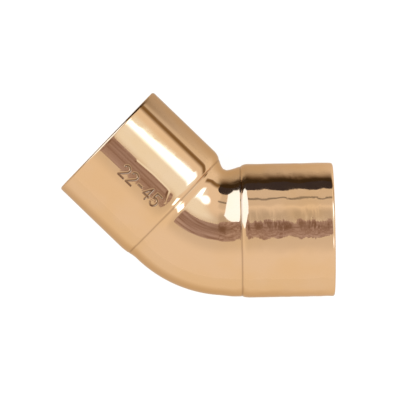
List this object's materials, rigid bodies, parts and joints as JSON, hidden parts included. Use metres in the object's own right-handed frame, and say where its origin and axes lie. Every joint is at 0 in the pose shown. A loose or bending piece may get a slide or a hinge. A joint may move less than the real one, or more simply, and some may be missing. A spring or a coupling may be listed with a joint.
{
  "type": "pipe elbow",
  "caption": "45 degree copper pipe elbow with plain capillary sockets that join two lengths of soldered copper tube at an angle.",
  "frame": {"origin": "on the run socket's axis, at the tube stop, which is the inner end of that socket's bore", "axes": "+X out of the run socket's mouth, +Z square to the plane of the bend; the branch socket's mouth faces 135 degrees from +X, between -X and +Y"},
  "size_m": [0.0488, 0.0371, 0.024],
  "materials": {
    "copper": "polished bare copper"
  },
  "bodies": {
    "root": {"bend": "copper", "run_shoulder": "copper", "branch_shoulder": "copper", "run_socket": "copper", "branch_socket": "copper"}
  },
  "joints": []
}
